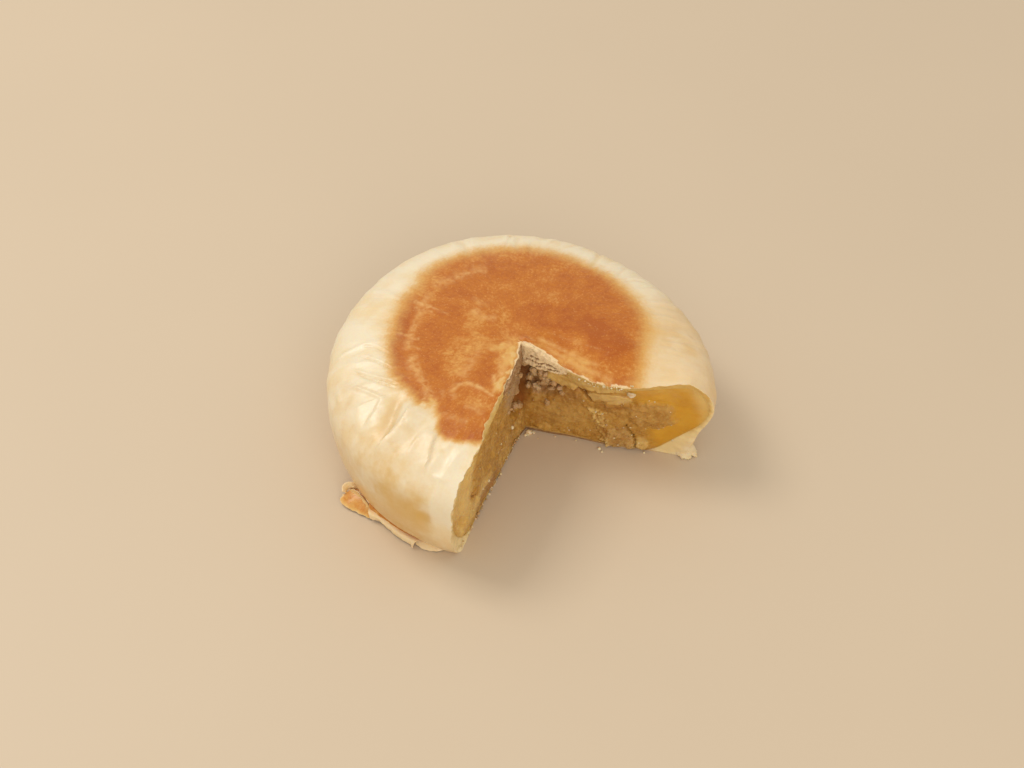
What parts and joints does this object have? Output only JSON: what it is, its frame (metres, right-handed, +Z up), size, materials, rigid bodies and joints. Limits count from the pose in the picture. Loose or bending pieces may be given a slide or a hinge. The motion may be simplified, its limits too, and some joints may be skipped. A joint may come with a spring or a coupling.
{
  "type": "pia cake",
  "caption": "Low round filled pastry with a quarter cut out of it, showing thin layered skin round a solid mung bean filling.",
  "frame": {"origin": "on the flat underside, at the middle of the bounding box seen from above, which is within 0.3 mm of the round cake's own axis", "axes": "+Z up through the cake; the missing quarter lies towards +X and -Y, so one cut face runs along +X and the other along -Y"},
  "size_m": [0.0754, 0.0748, 0.0245],
  "materials": {
    "baked_pastry": "cream pastry with a satin surface, browned orange over the middle of the top",
    "mung_bean_paste": "dull grainy amber paste, smoother and deeper towards the rim"
  },
  "bodies": {
    "root": {"pastry_skin": "baked_pastry", "mung_bean_filling": "mung_bean_paste"}
  },
  "joints": []
}
